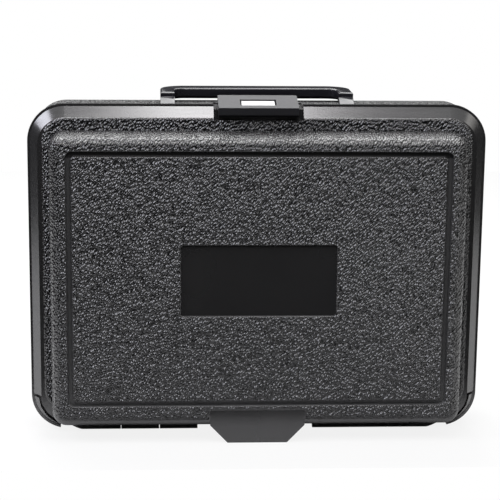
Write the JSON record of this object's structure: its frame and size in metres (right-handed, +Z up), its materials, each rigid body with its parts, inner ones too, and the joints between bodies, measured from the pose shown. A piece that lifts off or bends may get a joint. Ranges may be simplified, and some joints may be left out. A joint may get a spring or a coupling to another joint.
{
  "type": "carrying case",
  "caption": "Blow-moulded carrying case with a hinged lid, a snap latch, a folding handle and a foam insert.",
  "frame": {"origin": "centre of the bounding box at its bottom, on the surface that the feet stand on", "axes": "+X along the hinge, towards the right as seen from the lid; +Y from the lid towards the back panel; +Z up, from the hinged edge towards the handle"},
  "size_m": [0.356, 0.1, 0.269],
  "materials": {
    "shell_plastic": "glossy pebbled grain",
    "latch_plastic": "smooth satin",
    "handle_plastic": "smooth gloss",
    "pin_steel": "bright",
    "foam": "open-cell foam"
  },
  "bodies": {
    "base": {"base_shell": "shell_plastic", "hinge_pin_left": "pin_steel", "hinge_pin_right": "pin_steel", "handle_pin_left": "pin_steel", "handle_pin_right": "pin_steel", "base_foam_pad": "foam", "base_foam_tray": "foam"},
    "lid": {"lid_shell": "shell_plastic", "latch_pin": "pin_steel", "lid_foam_pad": "foam"},
    "latch": {"latch": "latch_plastic"},
    "handle": {"handle": "handle_plastic"}
  },
  "joints": [
    {"name": "lid_hinge", "type": "hinge", "parent": "base", "child": "lid", "pos_m": [0, -0.016, 0.0063], "axis": [1, 0, 0], "range_deg": [0, 170]},
    {"name": "latch_hinge", "type": "hinge", "parent": "lid", "child": "latch", "pos_m": [0, -0.0205, 0.2561], "axis": [1, 0, 0], "range_deg": [0, 80]},
    {"name": "handle_hinge", "type": "hinge", "parent": "base", "child": "handle", "pos_m": [0, -0.0035, 0.2563], "axis": [1, 0, 0], "range_deg": [0, 80]}
  ]
}
